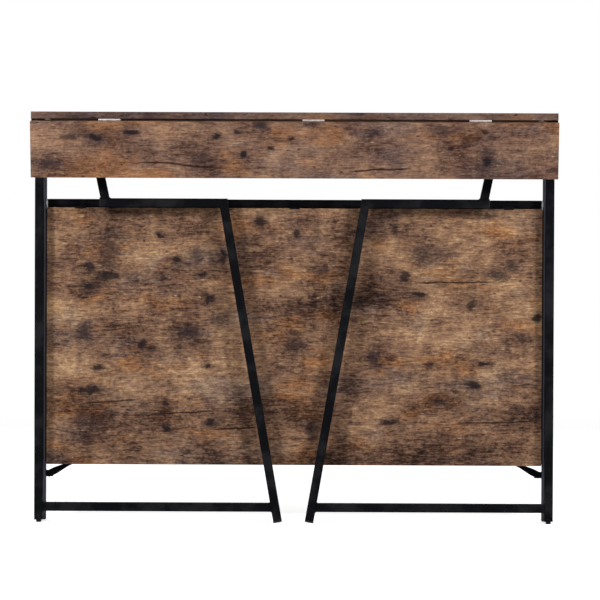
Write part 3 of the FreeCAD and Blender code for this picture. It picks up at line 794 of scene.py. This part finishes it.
def turned(build, seat, out, head, shank=None, turn=None):
    """Domed head that stands on seat and points out, and a shank behind it if it has one."""
    radius, height, recess, depth = head
    side = out.orthogonal().normalized()
    other = out.cross(side)

    def place(p):
        return turn @ p if turn is not None else p

    def ring(size, level, sunk):
        points = []
        for j in range(HEAD_POINTS):
            angle = 2.0 * math.pi * j / HEAD_POINTS
            x = size * math.cos(angle)
            y = size * math.sin(angle)
            drop = depth * recess(x / radius, y / radius) if sunk else 0.0
            points.append(place(seat + side * x + other * y + out * (level - drop)))
        return points

    rings = []
    for i in range(DOME_RINGS):
        share = (i + 1) / DOME_RINGS * DOME_SHARE
        rings.append(ring(radius * share, height * (1.0 - DOME_FALL * share ** 3), True))
    for wide, high in HEAD_EDGE:
        rings.append(ring(radius * wide, height * high, False))
    end = 0.0
    if shank:
        shank_radius, length = shank
        end = -length
        rings.append(ring(shank_radius, 0.0, False))
        rings.append(ring(shank_radius, end, False))
    base = build.rings(rings, False)
    last = base + (len(rings) - 1) * HEAD_POINTS
    build.fan(place(seat + out * (height - depth)), base, HEAD_POINTS, False)
    build.fan(place(seat + out * end), last, HEAD_POINTS, True)


# Screws through the shelf bearers, from below
BEARER_UNDER_Z = 0.924
SHELF_SCREW_XS = (-0.590, 0.590)
SHELF_SCREW_YS = (-0.024, 0.056)
shelf_screws = Builder()
for x in SHELF_SCREW_XS:
    for y in SHELF_SCREW_YS:
        turned(shelf_screws, Vector((x, y, BEARER_UNDER_Z)), DOWN, SCREW_HEAD)
shelf_screws.make("shelf_screw_heads", "rear_frame", "bright_steel", bright, ["shelf_screws"])

# Screws through the clips into the desktop, from behind
CLIP_BACK_Y = 0.078
CLIP_SCREW_XS = (-0.4986, 0.0, 0.4986)
CLIP_SCREW_ZS = (0.6715, 0.7015)
clip_screws = Builder()
for x in CLIP_SCREW_XS:
    for z in CLIP_SCREW_ZS:
        turned(clip_screws, Vector((x, CLIP_BACK_Y, z)), BACK, SCREW_HEAD)
clip_screws.make("clip_screw_heads", "desktop", "bright_steel", bright, ["clip_screws"])

# Bolts through the rear legs that the pivot bar turns on
pivot_bolts = Builder()
for side in (-1.0, 1.0):
    seat = Vector((side * OUTER_X, REAR_LEG_Y, BAR_Z))
    turned(pivot_bolts, seat, RIGHT * side, PIVOT_HEAD, PIVOT_SHANK)
pivot_bolts.make("pivot_bolt_heads", "rear_frame", "bright_steel", bright, ["pivot_bolts"])

# Bolts through the brace's lugs, two from behind and two from the front
BRACE_BOLT_X = 0.5715
BRACE_LOW_Z = 0.108
BRACE_HIGH_Z = 0.672
LUG_FACE_SETBACK = 0.0001
brace_bolts = Builder()
for facing in (1.0, -1.0):
    for side in (-1.0, 1.0):
        height = BRACE_LOW_Z if facing * side < 0 else BRACE_HIGH_Z
        seat = Vector((side * BRACE_BOLT_X, REAR_LEG_Y - facing * LUG_FACE_SETBACK, height))
        turned(brace_bolts, seat, BACK * facing, BRACE_HEAD, BRACE_SHANK)
brace_bolts.make("brace_bolt_heads", "rear_frame", "black_steel", steel, ["brace_bolts"])

# Screws in the hinge leaves: three to a leaf, the flap's own turned with its hang about the pin
PIN = Vector((0.0, -0.0766593, 0.925))
FLAP_MIDDLE_FORE = 0.011
FLAP_MIDDLE_DROP = 0.06575
HANG = math.atan2(FLAP_MIDDLE_FORE, FLAP_MIDDLE_DROP)
HINGE_XS = (-0.4212, 0.0432, 0.423)
# Places on a leaf: along the pin and away from it
LEAF_SCREWS = ((-0.017, 0.012), (0.0, 0.020), (0.017, 0.012))
FIXED_LEAF_Z = 0.9264
FLAP_LEAF_SETBACK = 0.0014
hang_turn = Matrix.Translation(PIN) @ Matrix.Rotation(HANG, 4, "X") @ Matrix.Translation(-PIN)
fixed_screws = Builder()
flap_screws = Builder()
for centre in HINGE_XS:
    for offset, reach in LEAF_SCREWS:
        under = Vector((centre + offset, PIN.y + reach, FIXED_LEAF_Z))
        turned(fixed_screws, under, DOWN, LEAF_HEAD)
        behind = Vector((centre + offset, PIN.y - FLAP_LEAF_SETBACK, PIN.z - reach))
        turned(flap_screws, behind, BACK, LEAF_HEAD, turn=hang_turn)
fixed_screws.make("hinge_screws_fixed", "rear_frame", "bright_steel", bright)
flap_screws.make("hinge_screws_flap", "shelf_flap", "bright_steel", bright)


# Studio: a white floor that glows to the camera, a white backdrop and four soft boxes
WHITE = (1.0, 1.0, 1.0, 1.0)
FLOOR_REACH = 60.0
FLOOR_STOPS = [(0.3, (0.79, 0.79, 0.79)), (0.7, (0.81, 0.81, 0.81))]
# The floor's glow near the desk, where its shadow has to show, and far from it
GLOW_NEAR = 1.5
GLOW_FAR = 6.0
GLOW_LOW = 0.68
GLOW_HIGH = 0.83
SKY_STRENGTH = 0.22
BACKDROP_STRENGTH = 1.0


def studio_floor():
    mesh = bpy.data.meshes.new("floor")
    corners = [
        (-FLOOR_REACH, -FLOOR_REACH, 0),
        (FLOOR_REACH, -FLOOR_REACH, 0),
        (FLOOR_REACH, FLOOR_REACH, 0),
        (-FLOOR_REACH, FLOOR_REACH, 0),
    ]
    mesh.from_pydata(corners, [], [(0, 1, 2, 3)])
    floor = bpy.data.objects.new("floor", mesh)
    bpy.context.collection.objects.link(floor)
    s = Shader("floor_white")
    cloud = s.noise(s.place(), 3.0)
    s.link(s.colours(cloud, FLOOR_STOPS), s.bsdf.inputs["Base Color"])
    s.bsdf.inputs["Roughness"].default_value = 0.9
    s.bsdf.inputs["Specular IOR Level"].default_value = 0.0
    seen = s.node("ShaderNodeLightPath")
    direct = s.math("MAXIMUM", seen.outputs["Is Camera Ray"], seen.outputs["Is Glossy Ray"])
    direct = s.math("MAXIMUM", direct, seen.outputs["Is Transmission Ray"])
    glow = s.node("ShaderNodeEmission")
    glow.inputs["Color"].default_value = WHITE
    away = s.vector("LENGTH", s.place())
    strength = s.ramp(away, GLOW_NEAR, GLOW_FAR, GLOW_LOW, GLOW_HIGH)
    s.link(s.math("MULTIPLY", direct, strength), glow.inputs["Strength"])
    add = s.node("ShaderNodeAddShader")
    s.link(s.bsdf.outputs[0], add.inputs[0])
    s.link(glow.outputs[0], add.inputs[1])
    s.link(add.outputs[0], s.tree.nodes["Material Output"].inputs["Surface"])
    floor.data.materials.append(s.material)


def studio_world():
    """Dim white sky that lights the desk, and full white where it is seen or mirrored."""
    world = bpy.data.worlds.new("studio")
    bpy.context.scene.world = world
    world.use_nodes = True
    tree = world.node_tree
    soft = tree.nodes["Background"]
    soft.inputs["Color"].default_value = WHITE
    soft.inputs["Strength"].default_value = SKY_STRENGTH
    white = tree.nodes.new("ShaderNodeBackground")
    white.inputs["Color"].default_value = WHITE
    white.inputs["Strength"].default_value = BACKDROP_STRENGTH
    seen = tree.nodes.new("ShaderNodeLightPath")
    direct = seen.outputs["Is Camera Ray"]
    for label in ("Is Glossy Ray", "Is Transmission Ray"):
        either = tree.nodes.new("ShaderNodeMath")
        either.operation = "MAXIMUM"
        tree.links.new(direct, either.inputs[0])
        tree.links.new(seen.outputs[label], either.inputs[1])
        direct = either.outputs[0]
    pick = tree.nodes.new("ShaderNodeMixShader")
    tree.links.new(direct, pick.inputs[0])
    tree.links.new(soft.outputs[0], pick.inputs[1])
    tree.links.new(white.outputs[0], pick.inputs[2])
    tree.links.new(pick.outputs[0], tree.nodes["World Output"].inputs["Surface"])


def soft_box(name, place, aim, size, power):
    data = bpy.data.lights.new(name, "AREA")
    data.shape = "RECTANGLE"
    data.size, data.size_y = size
    data.energy = power
    lamp = bpy.data.objects.new(name, data)
    bpy.context.collection.objects.link(lamp)
    lamp.location = place
    lamp.visible_camera = False
    lamp.rotation_euler = (Vector(aim) - Vector(place)).to_track_quat("-Z", "Y").to_euler()


# Soft boxes: name, place, point that it faces, width and height, power in watts
SOFT_BOXES = [
    ("box_left", (-1.2, -1.45, 1.35), (-0.35, 0.0, 0.5), (0.24, 0.5), 22.0),
    ("box_right", (1.2, -1.45, 1.35), (0.35, 0.0, 0.5), (0.24, 0.5), 22.0),
    ("box_top", (0.0, -0.9, 3.4), (0.0, 0.0, 0.6), (2.6, 1.2), 24.0),
    ("box_back", (0.0, 2.6, 1.9), (0.0, 0.0, 0.5), (2.4, 1.2), 22.0),
]
studio_floor()
studio_world()
for name, place, aim, size, power in SOFT_BOXES:
    soft_box(name, place, aim, size, power)

# Camera: nearly square on, a little above the middle, with its angles in degrees
FOCAL_PIXELS = 2501.5
FRAME_PIXELS = 600.0
SENSOR_WIDTH = 36.0
CAMERA_PLACE = (0.0428, -5.7664, 0.5850)
CAMERA_YAW = 0.2901
CAMERA_PITCH = -0.6801
CAMERA_ROLL = -0.2294
camera_data = bpy.data.cameras.new("camera")
camera_data.sensor_width = SENSOR_WIDTH
camera_data.lens = FOCAL_PIXELS / FRAME_PIXELS * SENSOR_WIDTH
camera = bpy.data.objects.new("camera", camera_data)
bpy.context.collection.objects.link(camera)
yaw = Matrix.Rotation(math.radians(CAMERA_YAW), 4, "Z")
pitch = Matrix.Rotation(math.radians(CAMERA_PITCH), 4, "X")
roll = Matrix.Rotation(math.radians(CAMERA_ROLL), 4, "Y")
level = Matrix.Rotation(math.radians(90.0), 4, "X")
camera.matrix_world = Matrix.Translation(CAMERA_PLACE) @ yaw @ pitch @ roll @ level
bpy.context.scene.camera = camera
bpy.context.scene.view_settings.view_transform = "Standard"
